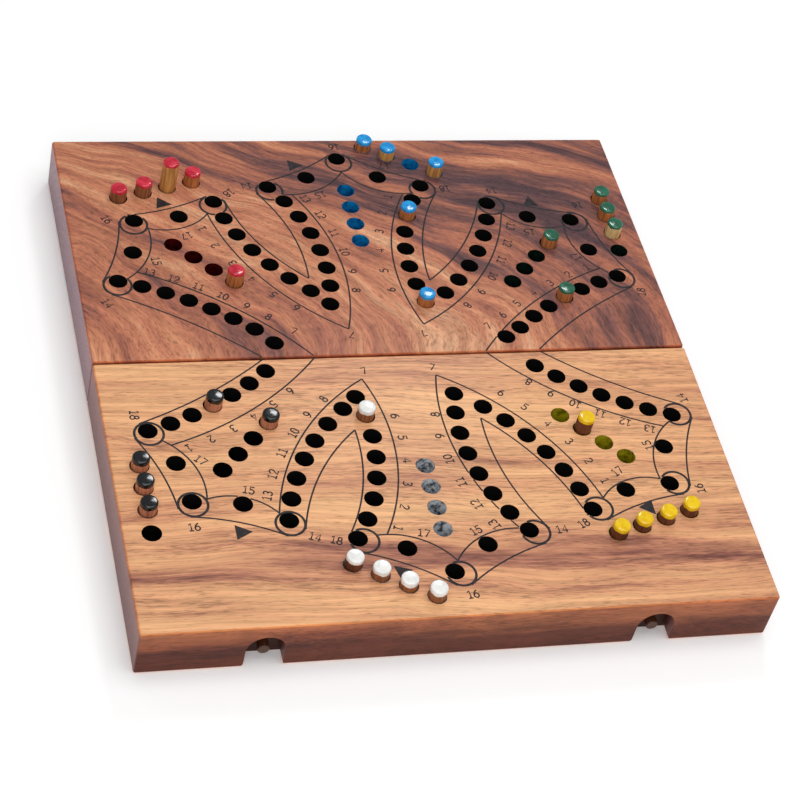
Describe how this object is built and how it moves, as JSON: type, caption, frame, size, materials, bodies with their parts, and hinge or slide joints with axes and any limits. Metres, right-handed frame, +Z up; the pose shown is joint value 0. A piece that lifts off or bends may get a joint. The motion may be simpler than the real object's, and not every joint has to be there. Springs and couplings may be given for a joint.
{
  "type": "folding peg race board",
  "caption": "Folding hardwood race board with hinged halves, blind peg holes in star-shaped lanes and loose pegs with painted tips.",
  "frame": {"origin": "centre of the footprint on the table", "axes": "+X to the right along the seam, +Y from the seam to the rear half, +Z up out of the playing faces"},
  "size_m": [0.29, 0.3086, 0.0445],
  "materials": {
    "rear_wood": "satin lacquer over strongly figured brown rain tree wood, printed and painted holes",
    "front_wood": "satin lacquer over straight-grained tan rain tree wood, printed and painted holes",
    "stud_wood": "plain turned dowel",
    "hinge_brass": "stamped brass",
    "screw_brass": "brass",
    "pin_steel": "drawn steel wire",
    "white_peg": "bare hardwood dowel with its tip dipped in white gloss paint",
    "yellow_peg": "bare hardwood dowel with its tip dipped in yellow gloss paint",
    "green_peg": "bare hardwood dowel with its tip dipped in green gloss paint",
    "blue_peg": "bare hardwood dowel with its tip dipped in blue gloss paint",
    "red_peg": "bare hardwood dowel with its tip dipped in red gloss paint",
    "black_peg": "bare hardwood dowel with its tip dipped in black gloss paint"
  },
  "bodies": {
    "rear_board": {"rear_board": "rear_wood", "rear_left_stud": "stud_wood", "left_hinge_rear_leaf": "hinge_brass", "left_hinge_rear_screw_1": "screw_brass", "left_hinge_rear_screw_2": "screw_brass", "rear_right_stud": "stud_wood", "right_hinge_rear_leaf": "hinge_brass", "right_hinge_rear_screw_1": "screw_brass", "right_hinge_rear_screw_2": "screw_brass", "left_hinge_pin": "pin_steel", "right_hinge_pin": "pin_steel"},
    "front_board": {"front_board": "front_wood", "front_left_stud": "stud_wood", "left_hinge_front_leaf": "hinge_brass", "left_hinge_front_screw_1": "screw_brass", "left_hinge_front_screw_2": "screw_brass", "front_right_stud": "stud_wood", "right_hinge_front_leaf": "hinge_brass", "right_hinge_front_screw_1": "screw_brass", "right_hinge_front_screw_2": "screw_brass"},
    "white_peg_1": {"white_peg_1": "white_peg"},
    "white_peg_2": {"white_peg_2": "white_peg"},
    "white_peg_3": {"white_peg_3": "white_peg"},
    "white_peg_4": {"white_peg_4": "white_peg"},
    "white_peg_5": {"white_peg_5": "white_peg"},
    "yellow_peg_1": {"yellow_peg_1": "yellow_peg"},
    "yellow_peg_2": {"yellow_peg_2": "yellow_peg"},
    "yellow_peg_3": {"yellow_peg_3": "yellow_peg"},
    "yellow_peg_4": {"yellow_peg_4": "yellow_peg"},
    "yellow_peg_5": {"yellow_peg_5": "yellow_peg"},
    "green_peg_1": {"green_peg_1": "green_peg"},
    "green_peg_2": {"green_peg_2": "green_peg"},
    "green_peg_3": {"green_peg_3": "green_peg"},
    "green_peg_4": {"green_peg_4": "green_peg"},
    "green_peg_5": {"green_peg_5": "green_peg"},
    "blue_peg_1": {"blue_peg_1": "blue_peg"},
    "blue_peg_2": {"blue_peg_2": "blue_peg"},
    "blue_peg_3": {"blue_peg_3": "blue_peg"},
    "blue_peg_4": {"blue_peg_4": "blue_peg"},
    "blue_peg_5": {"blue_peg_5": "blue_peg"},
    "red_peg_1": {"red_peg_1": "red_peg"},
    "red_peg_2": {"red_peg_2": "red_peg"},
    "red_peg_3": {"red_peg_3": "red_peg"},
    "red_peg_4": {"red_peg_4": "red_peg"},
    "red_peg_5": {"red_peg_5": "red_peg"},
    "black_peg_1": {"black_peg_1": "black_peg"},
    "black_peg_2": {"black_peg_2": "black_peg"},
    "black_peg_3": {"black_peg_3": "black_peg"},
    "black_peg_4": {"black_peg_4": "black_peg"},
    "black_peg_5": {"black_peg_5": "black_peg"}
  },
  "joints": [
    {"name": "board_fold", "type": "hinge", "parent": "rear_board", "child": "front_board", "pos_m": [0, 0, 0.0018], "axis": [1, 0, 0], "range_deg": [-1.5, 178.5]},
    {"name": "white_peg_1_pull", "type": "slide", "parent": "front_board", "child": "white_peg_1", "axis": [0.0197, -0.0328, 0.9993], "range_m": [0, 0.0237]},
    {"name": "white_peg_2_pull", "type": "slide", "parent": "front_board", "child": "white_peg_2", "axis": [-0.0209, -0.0131, 0.9997], "range_m": [0, 0.0237]},
    {"name": "white_peg_3_pull", "type": "slide", "parent": "front_board", "child": "white_peg_3", "axis": [-0.0275, -0.0179, 0.9995], "range_m": [0, 0.0237]},
    {"name": "white_peg_4_pull", "type": "slide", "parent": "front_board", "child": "white_peg_4", "axis": [-0.0098, -0.0167, 0.9998], "range_m": [0, 0.0237]},
    {"name": "white_peg_5_pull", "type": "slide", "parent": "front_board", "child": "white_peg_5", "axis": [-0.0209, -0.0131, 0.9997], "range_m": [0, 0.0237]},
    {"name": "yellow_peg_1_pull", "type": "slide", "parent": "front_board", "child": "yellow_peg_1", "axis": [0.0302, -0.0305, 0.9991], "range_m": [0, 0.0237]},
    {"name": "yellow_peg_2_pull", "type": "slide", "parent": "front_board", "child": "yellow_peg_2", "axis": [0, -0.0236, 0.9997], "range_m": [0, 0.0237]},
    {"name": "yellow_peg_3_pull", "type": "slide", "parent": "front_board", "child": "yellow_peg_3", "axis": [0.007, -0.0252, 0.9997], "range_m": [0, 0.0237]},
    {"name": "yellow_peg_4_pull", "type": "slide", "parent": "front_board", "child": "yellow_peg_4", "axis": [-0.0197, -0.0203, 0.9996], "range_m": [0, 0.0237]},
    {"name": "yellow_peg_5_pull", "type": "slide", "parent": "front_board", "child": "yellow_peg_5", "axis": [0.0328, -0.0011, 0.9995], "range_m": [0, 0.0237]},
    {"name": "green_peg_1_pull", "type": "slide", "parent": "rear_board", "child": "green_peg_1", "axis": [-0.0135, -0.003, 0.9999], "range_m": [0, 0.0237]},
    {"name": "green_peg_2_pull", "type": "slide", "parent": "rear_board", "child": "green_peg_2", "axis": [-0.0151, 0.0218, 0.9996], "range_m": [0, 0.0237]},
    {"name": "green_peg_3_pull", "type": "slide", "parent": "rear_board", "child": "green_peg_3", "axis": [0.0052, 0.004, 1], "range_m": [0, 0.0237]},
    {"name": "green_peg_4_pull", "type": "slide", "parent": "rear_board", "child": "green_peg_4", "axis": [0.0309, 0.0076, 0.9995], "range_m": [0, 0.0237]},
    {"name": "green_peg_5_pull", "type": "slide", "parent": "rear_board", "child": "green_peg_5", "axis": [-0.009, 0.0238, 0.9997], "range_m": [0, 0.0237]},
    {"name": "blue_peg_1_pull", "type": "slide", "parent": "rear_board", "child": "blue_peg_1", "axis": [-0.0209, 0.0131, 0.9997], "range_m": [0, 0.0237]},
    {"name": "blue_peg_2_pull", "type": "slide", "parent": "rear_board", "child": "blue_peg_2", "axis": [-0.0122, 0.0342, 0.9993], "range_m": [0, 0.0237]},
    {"name": "blue_peg_3_pull", "type": "slide", "parent": "rear_board", "child": "blue_peg_3", "axis": [0.0024, -0.0007, 1], "range_m": [0, 0.0237]},
    {"name": "blue_peg_4_pull", "type": "slide", "parent": "rear_board", "child": "blue_peg_4", "axis": [-0.0164, 0.0071, 0.9998], "range_m": [0, 0.0237]},
    {"name": "blue_peg_5_pull", "type": "slide", "parent": "rear_board", "child": "blue_peg_5", "axis": [-0.0187, -0.0026, 0.9998], "range_m": [0, 0.0237]},
    {"name": "red_peg_1_pull", "type": "slide", "parent": "rear_board", "child": "red_peg_1", "axis": [0.0048, 0, 1], "range_m": [0, 0.0237]},
    {"name": "red_peg_2_pull", "type": "slide", "parent": "rear_board", "child": "red_peg_2", "axis": [0.0164, 0.0191, 0.9997], "range_m": [-0.01, 0.0137]},
    {"name": "red_peg_3_pull", "type": "slide", "parent": "rear_board", "child": "red_peg_3", "axis": [0, 0.0026, 1], "range_m": [0, 0.0237]},
    {"name": "red_peg_4_pull", "type": "slide", "parent": "rear_board", "child": "red_peg_4", "axis": [-0.0112, 0.0265, 0.9996], "range_m": [0, 0.0237]},
    {"name": "red_peg_5_pull", "type": "slide", "parent": "rear_board", "child": "red_peg_5", "axis": [0.0105, 0.0312, 0.9995], "range_m": [0, 0.0237]},
    {"name": "black_peg_1_pull", "type": "slide", "parent": "front_board", "child": "black_peg_1", "axis": [0.014, -0.0131, 0.9998], "range_m": [0, 0.0237]},
    {"name": "black_peg_2_pull", "type": "slide", "parent": "front_board", "child": "black_peg_2", "axis": [0.0275, -0.0082, 0.9996], "range_m": [0, 0.0237]},
    {"name": "black_peg_3_pull", "type": "slide", "parent": "front_board", "child": "black_peg_3", "axis": [0.0131, -0.0083, 0.9999], "range_m": [0, 0.0237]},
    {"name": "black_peg_4_pull", "type": "slide", "parent": "front_board", "child": "black_peg_4", "axis": [0.0279, -0.0131, 0.9995], "range_m": [0, 0.0237]},
    {"name": "black_peg_5_pull", "type": "slide", "parent": "front_board", "child": "black_peg_5", "axis": [0.0309, -0.0185, 0.9993], "range_m": [0, 0.0237]}
  ]
}
